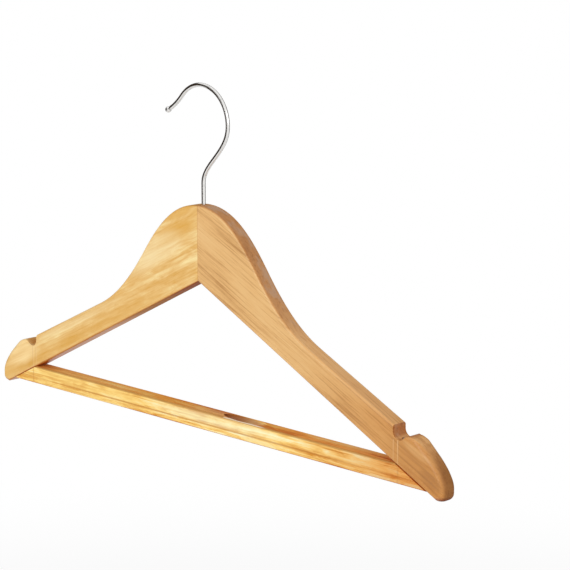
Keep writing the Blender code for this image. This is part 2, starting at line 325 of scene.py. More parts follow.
def lobe_edge():
    """Points from the lobe's crest down its side and round the nose, whose lowest facet is flat."""
    crest = lobe_crest()
    nose_x = HALF_WIDTH - TIP_RADIUS
    nose = Vector((nose_x, underside_z(nose_x) + TIP_RADIUS / math.cos(UNDERSIDE_TILT)))
    side = Vector((HALF_WIDTH, nose.y + END_FLAT))
    pulls = crest + Vector((LOBE_PULL_TOP, 0)), side + Vector((0, LOBE_PULL_SIDE))
    points = bezier(crest, *pulls, side, steps=18)
    points += arc(nose, TIP_RADIUS, 0, -TIP_LOWEST_TURN, steps=6)
    last_turn = -math.pi / 2 - UNDERSIDE_TILT
    return points + arc(nose, TIP_RADIUS, TIP_LOWEST_TURN - math.pi, last_turn, steps=2)


def arm_outline():
    """Outline of the right-hand half of the board before its notch is cut."""
    crown = Vector((0, CROWN_Z))
    shoulder = Vector((SHOULDER_OUT, CROWN_Z - SHOULDER_DROP))
    run = Vector((RUN_OUT, CROWN_Z - RUN_DROP))
    steep = ray(-SHOULDER_TILT, SHOULDER_PULL)
    straight = ray(-RUN_TILT, RUN_PULL)
    lip_x = NOTCH_OUT - NOTCH_RADIUS
    points = [crown]
    points += bezier(crown, crown + Vector((CROWN_REACH, 0)), shoulder - steep, shoulder, steps=22)
    points += bezier(shoulder, shoulder + steep, run - straight, run, steps=18)
    points += [Vector((lip_x, run_z(lip_x))), lobe_crest()]
    return points + lobe_edge() + [Vector((0, underside_z(0)))]


def mirrored(points):
    return [Vector((-p.x, p.y)) for p in reversed(points)]


def nose_outline():
    """Outline that hugs both noses and stands clear of the board everywhere else."""
    nose = [p for p in lobe_edge() if p.x > HALF_WIDTH - NOSE_LEAD]
    lowest_z = nose[-1].y + TIP_RADIUS / 2
    nose = [p for p in nose if p.x > HALF_WIDTH - TIP_RADIUS or p.y > lowest_z]
    lead_in = (nose[0] - nose[1]).normalized() * NOSE_LEAD
    lead_out = (nose[-1] - nose[-2]).normalized() * NOSE_LEAD
    top = Vector(((nose[0] + lead_in).x, CROWN_Z + NOSE_LEAD))
    right = [top, nose[0] + lead_in] + nose + [nose[-1] + lead_out]
    return right + mirrored(right)


def board_outline():
    right = arm_outline()
    return right + mirrored(right[1:-1])


# Modelling


def deselect():
    if bpy.context.mode != "OBJECT":
        bpy.ops.object.mode_set(mode="OBJECT")
    bpy.ops.object.select_all(action="DESELECT")


def only(obj):
    """Makes one object the selected and active one."""
    deselect()
    obj.select_set(True)
    bpy.context.view_layer.objects.active = obj


def named(obj, name):
    obj.name = name
    obj.data.name = name
    return obj


def edit(obj, kind="VERT"):
    """Opens an object in edit mode with nothing selected."""
    only(obj)
    bpy.ops.object.mode_set(mode="EDIT")
    bpy.ops.mesh.select_mode(type=kind)
    bpy.ops.mesh.select_all(action="DESELECT")


def pick(obj, kind, test):
    """Opens an object in edit mode and selects its verts or edges that pass a test."""
    edit(obj, kind)
    work = bmesh.from_edit_mesh(obj.data)
    work.normal_update()
    for element in {"VERT": work.verts, "EDGE": work.edges}[kind]:
        if test(element):
            element.select_set(True)
    work.select_flush_mode()
    bmesh.update_edit_mesh(obj.data)


def bevel(obj, test, width, segments, clamp):
    """Rounds or chamfers the edges that pass a test."""
    pick(obj, "EDGE", test)
    bpy.ops.mesh.bevel(offset=width, segments=segments, affect="EDGES", clamp_overlap=clamp)
    bpy.ops.object.mode_set(mode="OBJECT")


def close_mesh(obj):
    """Merges what lies together and turns all faces outwards."""
    edit(obj)
    bpy.ops.mesh.select_all(action="SELECT")
    bpy.ops.mesh.remove_doubles(threshold=SLACK / 2)
    bpy.ops.mesh.normals_make_consistent(inside=False)
    bpy.ops.object.mode_set(mode="OBJECT")


def settle(obj):
    """Puts an object's place, turn and size into its mesh."""
    only(obj)
    bpy.ops.object.transform_apply(location=True, rotation=True, scale=True)


def trace(name, points, y):
    """Draws a closed outline from point to point and fills it."""
    deselect()
    first = points[0]
    bpy.ops.mesh.primitive_plane_add(size=MILLIMETRE, location=(first.x, y, first.y))
    obj = named(bpy.context.object, name)
    bpy.ops.object.mode_set(mode="EDIT")
    bpy.ops.mesh.select_mode(type="VERT")
    bpy.ops.mesh.merge(type="CENTER")
    for here, there in zip(points, points[1:] + [first]):
        step = (there.x - here.x, 0, there.y - here.y)
        bpy.ops.mesh.extrude_region_move(TRANSFORM_OT_translate={"value": step})
    bpy.ops.mesh.select_all(action="SELECT")
    bpy.ops.mesh.remove_doubles(threshold=SLACK)
    bpy.ops.mesh.edge_face_add()
    bpy.ops.object.mode_set(mode="OBJECT")
    settle(obj)
    return obj


def thicken(obj, distance):
    """Pulls a flat filled outline out along Y."""
    edit(obj, "FACE")
    bpy.ops.mesh.select_all(action="SELECT")
    bpy.ops.mesh.extrude_region_move(TRANSFORM_OT_translate={"value": (0, distance, 0)})
    bpy.ops.mesh.select_all(action="SELECT")
    bpy.ops.mesh.normals_make_consistent(inside=False)
    bpy.ops.object.mode_set(mode="OBJECT")


def apply_modifier(obj, kind, **settings):
    only(obj)
    modifier = obj.modifiers.new(kind.lower(), kind)
    for key, value in settings.items():
        setattr(modifier, key, value)
    bpy.ops.object.modifier_apply(modifier=modifier.name)


def carve(obj, cutters, operation="DIFFERENCE"):
    """Cuts each cutter out of an object, or keeps what lies inside it, and removes the cutter."""
    for cutter in cutters:
        apply_modifier(obj, "BOOLEAN", object=cutter, operation=operation, solver="EXACT")
        bpy.data.objects.remove(cutter)


def drill(x, radius, low, high, sides):
    """Upright cylinder to cut with."""
    deselect()
    place = (x, 0, (low + high) / 2)
    bpy.ops.mesh.primitive_cylinder_add(
        vertices=sides, radius=radius, depth=high - low, location=place
    )
    return named(bpy.context.object, "drill")


def rim_edge(edge):
    """True for the edges that run round the front and the back of a flat board."""
    return abs(edge.verts[0].co.y - edge.verts[1].co.y) < MILLIMETRE


def notch_rim(edge):
    """True for the sharp edges that the notch leaves on the board's faces and rims."""
    middle = (edge.verts[0].co + edge.verts[1].co) / 2
    lip_x = NOTCH_OUT - NOTCH_RADIUS
    in_notch = lip_x - SLACK < abs(middle.x) < NOTCH_OUT + CREST_REACH * 0.8
    if not in_notch or middle.z < notch_floor_z() - SLACK or len(edge.link_faces) != 2:
        return False
    return edge.calc_face_angle(0) > SHARP_ANGLE


def seam_edge(edge):
    """True for the outer edges of an arm's glued face."""
    off = max(abs(v.co.x) for v in edge.verts)
    on_seam = [f for f in edge.link_faces if abs(f.normal.x) > FACING]
    return off <= SEAM_GAP / 2 + SLACK and len(edge.link_faces) == 2 and len(on_seam) == 1


def notch_cutter(side):
    """Block with the notch's shape, reaching past the board on both faces."""
    points = notch_edge()
    lift = Vector((0, NOTCH_DEPTH * 1.5))
    points = [points[0] + lift] + points + [points[-1] + lift]
    if side < 0:
        points = [Vector((-p.x, p.y)) for p in points]
    cutter = trace("notch_cutter", points, -BOARD_THICKNESS)
    thicken(cutter, 2 * BOARD_THICKNESS)
    return cutter


def nail_drills(side, with_recess):
    """Bore for a nail and, in the arm, the recess for its head."""
    x = side * NOTCH_OUT
    top = notch_floor_z() + NAIL_HEAD_HEIGHT / 2
    point = min(underside_z(NOTCH_OUT), BAR_TOP_Z) - NAIL_BITE
    drills = [drill(x, NAIL_RADIUS + FIT, point - FIT, top, sides=20)]
    if with_recess:
        floor = top - NAIL_HEAD_HEIGHT - FIT
        drills.append(drill(x, NAIL_HEAD_RADIUS + FIT, floor, top + NOTCH_DEPTH, sides=32))
    return drills


def swivel_drills():
    """Bore for the stem and pocket for its head, each in one cutter."""
    bore = drill(0, WIRE_RADIUS + FIT, POCKET_TOP_Z - WIRE_RADIUS, CROWN_Z + WIRE_RADIUS, sides=40)
    foot_z = underside_z(0) - POCKET_RADIUS
    return [bore, drill(0, POCKET_RADIUS, foot_z, POCKET_TOP_Z, sides=40)]


def model_board():
    """Both arms as one board, with the rim rounded and the notches cut."""
    board = trace("board", board_outline(), -BOARD_THICKNESS / 2)
    thicken(board, BOARD_THICKNESS)
    bevel(board, rim_edge, RIM_ROUNDING, RIM_SEGMENTS, clamp=False)
    shaper = trace("nose_shaper", nose_outline(), -BOARD_THICKNESS / 2 - NOSE_SPARE)
    thicken(shaper, BOARD_THICKNESS + 2 * NOSE_SPARE)
    bevel(shaper, rim_edge, NOSE_ROUNDING, RIM_SEGMENTS, clamp=False)
    carve(board, [shaper], "INTERSECT")
    carve(board, [notch_cutter(-1), notch_cutter(1)])
    bevel(board, notch_rim, NOTCH_ROUNDING, segments=2, clamp=True)
    return board


def model_arm(board, side, name):
    """One arm, sawn from a copy of the board, with the edges of its glued face eased."""
    only(board)
    bpy.ops.object.duplicate()
    arm = named(bpy.context.object, name)
    edit(arm)
    bpy.ops.mesh.select_all(action="SELECT")
    keep_right = side > 0
    bpy.ops.mesh.bisect(
        plane_co=(side * SEAM_GAP / 2, 0, 0), plane_no=(1, 0, 0), use_fill=True,
        clear_inner=keep_right, clear_outer=not keep_right,
    )
    bevel(arm, seam_edge, SEAM_CHAMFER, segments=1, clamp=True)
    close_mesh(arm)
    carve(arm, swivel_drills() + nail_drills(side, with_recess=True))
    close_mesh(arm)
    return arm


def dish_cutter():
    """Ellipsoid for the dish, a little deeper towards the seam side."""
    deselect()
    centre = (DISH_START + DISH_LENGTH / 2, 0, BAR_TOP_Z)
    bpy.ops.mesh.primitive_uv_sphere_add(segments=64, ring_count=32, radius=1, location=centre)
    dish = bpy.context.object
    dish.scale = (DISH_LENGTH / 2, BOARD_THICKNESS / 2 - DISH_LIP, DISH_DEPTH)
    dish.rotation_euler.y = -DISH_TILT
    settle(dish)
    return dish


def model_bar():
    """Trouser bar: a stick with sloping ends, rounded long edges, a scored face and a dish."""
    top_x = BAR_TOP_OUT - BAR_END_GAP / math.sin(UNDERSIDE_TILT)
    bottom_x = top_x + BAR_HEIGHT / math.tan(UNDERSIDE_TILT)
    middle_z = (BAR_TOP_Z + BAR_BOTTOM_Z) / 2
    deselect()
    bpy.ops.mesh.primitive_cube_add(size=1, location=(0, 0, middle_z))
    bar = named(bpy.context.object, "trouser_bar_wood")
    bar.scale = (2 * top_x, BOARD_THICKNESS, BAR_HEIGHT)
    settle(bar)
    for side in (-1, 1):
        pick(bar, "VERT", lambda v: v.co.x * side > 0 and v.co.z < middle_z)
        bpy.ops.transform.translate(value=(side * (bottom_x - top_x), 0, 0))
    bevel(
        bar, lambda e: abs(e.verts[0].co.x - e.verts[1].co.x) > top_x,
        BAR_ROUNDING, RIM_SEGMENTS, clamp=False,
    )
    score_z = BAR_BOTTOM_Z + SCORE_RISE
    edit(bar)
    for z in (score_z - SCORE_WIDTH / 2, score_z, score_z + SCORE_WIDTH / 2):
        bpy.ops.mesh.select_all(action="SELECT")
        bpy.ops.mesh.bisect(plane_co=(0, 0, z), plane_no=(0, 0, 1))
    pick(bar, "VERT", lambda v: abs(v.co.z - score_z) < SCORE_WIDTH / 10 and v.co.y < 0)
    bpy.ops.transform.translate(value=(0, SCORE_DEPTH, 0))
    close_mesh(bar)
    drills = nail_drills(-1, with_recess=False) + nail_drills(1, with_recess=False)
    carve(bar, [dish_cutter()] + drills)
    close_mesh(bar)
    return bar


def hook_path():
    """Centre line of the wire above its head, as (x, z) points."""
    stem = Vector((0, CROWN_Z + STEM_HEIGHT))
    centre = Vector((-BOWL_OFFSET, CROWN_Z + BOWL_RISE))
    side = centre + Vector((BOWL_RADIUS, 0))
    points = [Vector((0, HEAD_TOP_Z)), Vector((0, CROWN_Z)), stem]
    pulls = stem + Vector((0, SWAN_PULL_LOW)), side - Vector((0, SWAN_PULL_HIGH))
    points += bezier(stem, *pulls, side, steps=30)
    points += arc(centre, BOWL_RADIUS, 0, BOWL_SWEEP, steps=52)[1:]
    tail = points[-1]
    pull_start = tail + ray(BOWL_SWEEP + math.pi / 2, TAIL_PULL)
    pull_end = HOOK_TIP + ray(TAIL_END_TILT, TAIL_PULL)
    return points + bezier(tail, pull_start, pull_end, HOOK_TIP, steps=12)


def push(step, centre, growth):
    """Extrudes the open end of a wire by a step and scales its new end about a centre."""
    bpy.ops.mesh.extrude_region_move(TRANSFORM_OT_translate={"value": (step.x, 0, step.y)})
    if abs(growth - 1) > TINY:
        middle = (centre.x, 0, centre.y)
        bpy.ops.transform.resize(value=(growth,) * 3, center_override=middle)


def lean(turn, centre):
    """Turns the open end of a wire about Y, anticlockwise seen from the front."""
    if abs(turn) > TINY:
        middle = (centre.x, 0, centre.y)
        bpy.ops.transform.rotate(value=turn, orient_axis="Y", center_override=middle)


def draw_head(foot_z):
    """Draws the upset head up from its foot and narrows its top to the wire."""
    here = Vector((0, foot_z))
    for rise_share, growth in ((0.3, 1 / HEAD_FOOT_SHARE), (0.6, 1), (0.1, HEAD_TOP_SHARE)):
        step = Vector((0, HEAD_HEIGHT * rise_share))
        here = here + step
        push(step, here, growth)
    push(Vector((0, 0)), here, WIRE_RADIUS / (HEAD_RADIUS * HEAD_TOP_SHARE))


def draw_wire(path):
    """Draws the wire along its path, each ring turned to the mean of the runs on both sides."""
    heading = math.pi / 2
    for i in range(1, len(path)):
        before = path[i] - path[i - 1]
        after = path[i + 1] - path[i] if i + 1 < len(path) else before
        push(before, path[i], 1)
        way = before.normalized() + after.normalized()
        turn = math.remainder(math.atan2(way.y, way.x) - heading, 2 * math.pi)
        lean(turn, path[i])
        heading += turn


def draw_ball(spot, centre, tangent):
    """Swells the wire's end into a ball, ring by ring."""
    start = math.asin(WIRE_RADIUS / BALL_RADIUS)
    radius = WIRE_RADIUS
    for i in range(1, BALL_RINGS + 1):
        angle = start + (BALL_END - start) * i / BALL_RINGS
        new_radius = BALL_RADIUS * math.sin(angle)
        target = centre - tangent * BALL_RADIUS * math.cos(angle)
        push(target - spot, target, new_radius / radius)
        radius, spot = new_radius, target


def model_hook():
    """Wire hook: an upset head, the bent wire and the ball at its tip, drawn out of one disc."""
    path = hook_path()
    tangent = (path[-1] - path[-2]).normalized()
    centre = path[-1]
    path[-1] = centre - tangent * math.sqrt(BALL_RADIUS**2 - WIRE_RADIUS**2)
    deselect()
    foot_z = HEAD_TOP_Z - HEAD_HEIGHT
    bpy.ops.mesh.primitive_circle_add(
        vertices=WIRE_SIDES, radius=HEAD_RADIUS * HEAD_FOOT_SHARE, fill_type="NGON",
        location=(0, 0, foot_z),
    )
    hook = named(bpy.context.object, "wire_hook")
    bpy.ops.object.mode_set(mode="EDIT")
    draw_head(foot_z)
    draw_wire(path)
    draw_ball(path[-1], centre, tangent)
    settle(hook)
    close_mesh(hook)
    return hook


def smoothstep(low, high, value):
    t = min(1, max(0, (value - low) / (high - low)))
    return t * t * (3 - 2 * t)


def mark_cut_wood(obj, grain):
    """Stores how far the surface turns across the grain, off the flat faces and downwards."""
    measures = {
        "end_grain": lambda normal: abs(normal.dot(grain)),
        "rim": lambda normal: smoothstep(*RIM_TURN, 1 - abs(normal.y)),
        "under": lambda normal: smoothstep(*UNDER_TURN, -normal.z),
    }
    for name, measure in measures.items():
        layer = obj.data.attributes.new(name, "FLOAT", "CORNER")
        for normal, corner in zip(obj.data.corner_normals, layer.data):
            corner.value = measure(normal.vector)


def smooth(obj):
    only(obj)
    bpy.ops.object.shade_smooth_by_angle(angle=SMOOTH_ANGLE)


def finish_wood(obj, grain):
    smooth(obj)
    apply_modifier(obj, "WEIGHTED_NORMAL", keep_sharp=True)
    mark_cut_wood(obj, grain)


# Node building


def fill(tree, node, inputs):
    """Links or sets a node's inputs."""
    for key, value in dict(inputs).items():
        if isinstance(value, bpy.types.NodeSocket):
            tree.links.new(value, node.inputs[key])
        else:
            node.inputs[key].default_value = value


def add(tree, kind, inputs=(), **settings):
    """Adds a node, sets its options and fills its inputs."""
    node = tree.nodes.new("ShaderNode" + kind)
    for key, value in settings.items():
        setattr(node, key, value)
    fill(tree, node, inputs)
    return node


def maths(tree, operation, a, b=0.0, c=0.0):
    return add(tree, "Math", {0: a, 1: b, 2: c}, operation=operation).outputs[0]


def scaled(tree, value, factor, base):
    """A value times a factor, plus a base."""
    return maths(tree, "MULTIPLY_ADD", value, factor, base)


def times(tree, *values):
    product = values[0]
    for value in values[1:]:
        product = maths(tree, "MULTIPLY", product, value)
    return product


def between(tree, share, start, end):
    """Goes evenly from a start to an end as a share goes from 0 to 1."""
    return scaled(tree, share, end - start, start)


def inverse(tree, value):
    """What a value leaves of 1."""
    return maths(tree, "SUBTRACT", 1.0, value)


def centred(tree, value):
    return maths(tree, "SUBTRACT", value, 0.5)


def unsigned(tree, value):
    return maths(tree, "ABSOLUTE", value)


def axes_of(tree, place):
    return add(tree, "SeparateXYZ", {0: place}).outputs


def blend(tree, factor, a, b, mode="MIX"):
    """Mixes two colours; as colours they go in at 6 and 7 and come out at 2."""
    return add(tree, "Mix", {0: factor, 6: a, 7: b}, data_type="RGBA", blend_type=mode).outputs[2]


def ramp(tree, value, low, high):
    """Smooth rise from 0 to 1 between two values."""
    node = add(tree, "MapRange", {0: value, 1: low, 2: high}, interpolation_type="SMOOTHSTEP")
    return node.outputs[0]


def band(tree, value, middle, width):
    """1 close to a middle, fading to 0 within three quarters of a width."""
    off = unsigned(tree, maths(tree, "SUBTRACT", value, middle))
    return inverse(tree, ramp(tree, off, width * 0.25, width * 0.75))


def below(tree, value, limit, fade):
    """1 up to a limit, fading to 0 behind it."""
    return inverse(tree, ramp(tree, value, limit, limit + fade))


def on_front(tree, axes, skin):
    """1 on the front face and for the depth of a thin skin behind it."""
    return below(tree, axes["Y"], skin - BOARD_THICKNESS / 2, SKIN_FADE)


def vector_maths(tree, operation, a, b=(0, 0, 0)):
    return add(tree, "VectorMath", {0: a, 1: b}, operation=operation).outputs


def noise(tree, place, patches, detail=2.0, roughness=0.5, distortion=0.0):
    """Noise with its own number of patches to the metre along each axis."""
    place = vector_maths(tree, "MULTIPLY", place, patches)[0]
    inputs = {"Vector": place, "Scale": 1.0, "Detail": detail}
    inputs.update({"Roughness": roughness, "Distortion": distortion})
    return add(tree, "TexNoise", inputs).outputs["Fac"]


def new_group(name, inputs, outputs):
    """Shader node group with named sockets."""
    tree = bpy.data.node_groups.new(name, "ShaderNodeTree")
    kinds = {"colour": "NodeSocketColor", "number": "NodeSocketFloat", "vector": "NodeSocketVector"}
    for label, kind, value in inputs:
        kind = kinds[kind]
        socket = tree.interface.new_socket(name=label, in_out="INPUT", socket_type=kind)
        if value is not None:
            socket.default_value = value
    for label, kind in outputs:
        tree.interface.new_socket(name=label, in_out="OUTPUT", socket_type=kinds[kind])
    return tree, tree.nodes.new("NodeGroupInput"), tree.nodes.new("NodeGroupOutput")


def build_wood_group():
    """Solid timber with its grain along X: rings, streaks, lines, fibres, pores and a figure."""
    inputs = [
        ("Vector", "vector", None),
        ("Light Wood", "colour", (0.8, 0.5, 0.2, 1)),
        ("Middle Wood", "colour", (0.7, 0.4, 0.15, 1)),
        ("Dark Wood", "colour", (0.5, 0.25, 0.08, 1)),
        ("Ring Spacing", "number", 0.004),
        ("Rings", "number", 0.2),
        ("Waviness", "number", 0.006),
        ("Patches", "number", 1.0),
        ("Streaks", "number", 1.0),
        ("Fine Lines", "number", 0.3),
        ("Figure", "number", 0.3),
    ]
    outputs = [("Colour", "colour"), ("Height", "number"), ("Polish", "number")]
    tree, source, sink = new_group("solid_timber", inputs, outputs)
    wish = source.outputs
    place = wish["Vector"]
    axes = axes_of(tree, place)
    sway = times(tree, centred(tree, noise(tree, place, SWAY_GRAIN, detail=3.0)), wish["Waviness"])
    across = maths(tree, "ADD", scaled(tree, axes["Y"], RING_SLANT, axes["Z"]), sway)
    tooth = maths(tree, "FRACT", maths(tree, "DIVIDE", across, wish["Ring Spacing"]))
    ring_end = inverse(tree, ramp(tree, tooth, RING_FALL, 1.0))
    ring = times(tree, ramp(tree, tooth, RING_RISE, RING_FALL), ring_end)
    patch = noise(tree, place, PATCH_GRAIN, distortion=0.8)
    streak = noise(tree, place, STREAK_GRAIN, detail=4.0, roughness=0.6)
    line = ramp(tree, noise(tree, place, LINE_GRAIN, detail=3.0, roughness=0.62), *LINE_EDGE)
    fibre = noise(tree, place, FIBRE_GRAIN, detail=3.0, roughness=0.65)
    ripple = noise(tree, place, RIPPLE_GRAIN, detail=3.0, roughness=0.6, distortion=1.0)
    cell_place = vector_maths(tree, "MULTIPLY", place, PORE_GRAIN)[0]
    cells = add(tree, "TexVoronoi", {"Vector": cell_place, "Scale": 1.0}).outputs
    pore = inverse(tree, ramp(tree, cells["Distance"], *PORE_EDGE))
    tone = scaled(tree, ring, times(tree, wish["Rings"], -1.0), MIDDLE_TONE)
    layers = [
        (patch, wish["Patches"]), (streak, wish["Streaks"]),
        (fibre, FIBRE_TONE), (ripple, wish["Figure"]),
    ]
    for layer, weight in layers:
        tone = scaled(tree, centred(tree, layer), weight, tone)
    tone = scaled(tree, line, times(tree, wish["Fine Lines"], -1.0), tone)
    tone = scaled(tree, pore, PORE_TONE, tone)
    lower, upper = times(tree, tone, 2.0), scaled(tree, tone, 2.0, -1.0)
    lower.node.use_clamp = upper.node.use_clamp = True
    colour = blend(tree, lower, wish["Dark Wood"], wish["Middle Wood"])
    colour = blend(tree, upper, colour, wish["Light Wood"])
    height = times(tree, streak, 0.5)
    for layer, depth in ((fibre, 0.5), (line, -0.15), (pore, -0.5)):
        height = scaled(tree, layer, depth, height)
    polish = scaled(tree, streak, 0.7, times(tree, fibre, 0.3))
    fill(tree, sink, {"Colour": colour, "Height": height, "Polish": polish})
    return tree


def build_cut_wood_group():
    """Tints of sawn wood with painted light and shade: sawn tone and painted shade off the flat
    faces, painted light along the run, painted shade far out and below, and darker end grain with
    painted shadow on the nose.
    """
    inputs = [
        ("Colour", "colour", None),
        ("Vector", "vector", None),
        ("Rim", "number", 0.0),
        ("Across Grain", "number", 0.0),
        ("Under", "number", 0.0),
        ("Cut Tone And Painted Shade", "colour", (0.8, 0.6, 0.5, 1)),
        ("Side Share", "number", 0.0),
        ("Far Painted Shade", "colour", WHITE),
        ("Nose Share", "number", 0.0),
    ]
    outputs = [("Colour", "colour"), ("Cut", "number"), ("Upper Cut", "number")]
    tree, source, sink = new_group("cut_wood_and_shade", inputs, outputs)
    wish = source.outputs
    along = axes_of(tree, wish["Vector"])["X"]
    along_run = inverse(tree, ramp(tree, wish["Across Grain"], *END_GRAIN_TURN))
    along_run = times(tree, along_run, ramp(tree, unsigned(tree, along), *RUN_SPAN))
    spared = times(tree, along_run, inverse(tree, wish["Side Share"]))
    cut = times(tree, wish["Rim"], inverse(tree, spared))
    on_side = times(tree, wish["Rim"], along_run)
    nose = times(tree, ramp(tree, along, *NOSE_SPAN), cut, wish["Nose Share"])
    far = times(tree, ramp(tree, along, *FAR_SPAN), between(tree, on_side, 1, FAR_SHARE_ON_SIDE))
    colour = wish["Colour"]
    # Each layer multiplies: sawn tone with painted shade, painted light on the run's sides, end
    # grain with painted shadow on the nose, painted shade towards the right-hand end, painted shade
    # below
    layers = [
        (cut, wish["Cut Tone And Painted Shade"]), (on_side, SIDE_PAINTED_LIGHT), (nose, NOSE_GRAIN_AND_SHADOW),
        (far, wish["Far Painted Shade"]), (wish["Under"], UNDERSIDE_PAINTED_SHADE),
    ]
    for share, shade in layers:
        colour = blend(tree, share, colour, shade, "MULTIPLY")
    upper_cut = times(tree, cut, inverse(tree, wish["Under"]))
    fill(tree, sink, {"Colour": colour, "Cut": cut, "Upper Cut": upper_cut})
    return tree


def build_spot_group():
    """Soft-edged spot of the timber, long along the grain and ragged with its figure."""
    inputs = [
        ("Vector", "vector", None),
        ("Middle", "vector", None),
        ("Reach", "vector", (0.02, 1, 0.01)),
        ("Turn", "number", 0.0),
        ("Figure", "number", 0.5),
        ("Raggedness", "number", 2.6),
        ("Strength", "number", 1.0),
    ]
    tree, source, sink = new_group("timber_spot", inputs, [("Mask", "number")])
    wish = source.outputs
    away = vector_maths(tree, "SUBTRACT", wish["Vector"], wish["Middle"])[0]
    turn = {"Vector": away, "Angle": wish["Turn"]}
    away = add(tree, "VectorRotate", turn, rotation_type="Y_AXIS").outputs[0]
    away = vector_maths(tree, "DIVIDE", away, wish["Reach"])[0]
    distance = vector_maths(tree, "LENGTH", away)["Value"]
    near = inverse(tree, ramp(tree, times(tree, distance, distance), *SPOT_EDGE))
    ragged = scaled(tree, centred(tree, wish["Figure"]), wish["Raggedness"], SPOT_FILL)
    fill(tree, sink, {"Mask": times(tree, near, ragged, wish["Strength"])})
    return tree


def build_arm_marks_group():
    """Mottled painted sheen on an arm's sawn top, and the fine upright lines of a peg below the
    notch, drawn as a painted highlight beside painted groove shade.
    """
    inputs = [("Colour", "colour", None), ("Vector", "vector", None), ("Upper Cut", "number", 0.0)]
    tree, source, sink = new_group("arm_marks", inputs, [("Colour", "colour")])
    wish = source.outputs
    axes = axes_of(tree, wish["Vector"])
    # Painted sheen along the middle of the sawn top, short of the right-hand nose
    inner = below(tree, unsigned(tree, axes["Y"]), SHEEN_WIDTH, SHEEN_WIDTH_FADE)
    before_nose = below(tree, axes["X"], SHEEN_END, SHEEN_END_FADE)
    mottle = noise(tree, wish["Vector"], MOTTLE_GRAIN, detail=3.0, roughness=0.6)
    painted_sheen = between(tree, ramp(tree, mottle, *MOTTLE_EDGE), *SHEEN_SHARE)
    painted_sheen = times(tree, painted_sheen, wish["Upper Cut"], inner, before_nose)
    colour = blend(tree, painted_sheen, wish["Colour"], MOTTLED_SHEEN)
    floor = notch_floor_z()
    fading = between(tree, ramp(tree, axes["Z"], floor - PEG_LENGTH, floor), *PEG_SHARE)
    under_notch = below(tree, axes["Z"], floor - MILLIMETRE * 0.6, MILLIMETRE)
    shown = times(tree, fading, under_notch, on_front(tree, axes, ARM_SKIN))
    out = unsigned(tree, axes["X"])
    # Each line: a painted highlight on one edge and painted groove shade beside it
    for side, strength in ((-1, 0.5), (1, 0.75)):
        edge = NOTCH_OUT - PEG_IN_FROM_NOTCH + side * PEG_WIDTH / 2
        glint = times(tree, band(tree, out, edge, LINE_WIDTH), shown, strength)
        colour = blend(tree, glint, colour, PEG_GLINT)
        groove_shade = band(tree, out, edge + LINE_WIDTH, LINE_WIDTH)
        colour = blend(tree, times(tree, groove_shade, shown, strength / 2), colour, PEG_GROOVE_SHADE)
    fill(tree, sink, {"Colour": colour})
    return tree


def build_metal_group():
    """Drawn or plated metal: dulled patches, and fine marks along the wire."""
    inputs = [
        ("Vector", "vector", None), ("Plating", "colour", (0.7, 0.7, 0.7, 1)),
        ("Polish", "number", 0.2),
    ]
    outputs = [("Colour", "colour"), ("Roughness", "number"), ("Height", "number")]
    tree, source, sink = new_group("drawn_metal", inputs, outputs)
    wish = source.outputs
    dull = noise(tree, wish["Vector"], DULL_PATCHES, detail=4.0, roughness=0.6)
    colour = blend(tree, ramp(tree, dull, *DULL_EDGE), wish["Plating"], DULL_SHADE, "MULTIPLY")
    rough = scaled(tree, centred(tree, dull), DULL_ROUGHNESS, wish["Polish"])
    marks = noise(tree, wish["Vector"], DRAWN_MARKS)
    fill(tree, sink, {"Colour": colour, "Roughness": rough, "Height": marks})
    return tree


WOOD_GROUP = build_wood_group()
CUT_WOOD_AND_SHADE_GROUP = build_cut_wood_group()
SPOT_GROUP = build_spot_group()
ARM_MARKS_GROUP = build_arm_marks_group()
METAL_GROUP = build_metal_group()


# Materials


def place_group(tree, group, inputs):
    return add(tree, "Group", node_tree=group, inputs=inputs).outputs


def new_material(name):
    """New material, its node tree and its shader."""
    material = bpy.data.materials.new(name)
    material.use_nodes = True
    tree = material.node_tree
    return material, tree, tree.nodes["Principled BSDF"]


def add_spots(tree, place, figure, spots, turn, raggedness, colour):
    """Each spot: middle (X, Z), reach along, through and across the grain, colour, strength."""
    for (x, z), reach, tint, strength in spots:
        inputs = {"Vector": place, "Middle": (x, 0, z), "Reach": reach, "Turn": turn}
        inputs.update({"Figure": figure, "Raggedness": raggedness, "Strength": strength})
        colour = blend(tree, place_group(tree, SPOT_GROUP, inputs)["Mask"], colour, tint)
    return colour


def arm_marks(tree, place, upper_cut, colour):
    inputs = {"Colour": colour, "Vector": place, "Upper Cut": upper_cut}
    return place_group(tree, ARM_MARKS_GROUP, inputs)["Colour"]


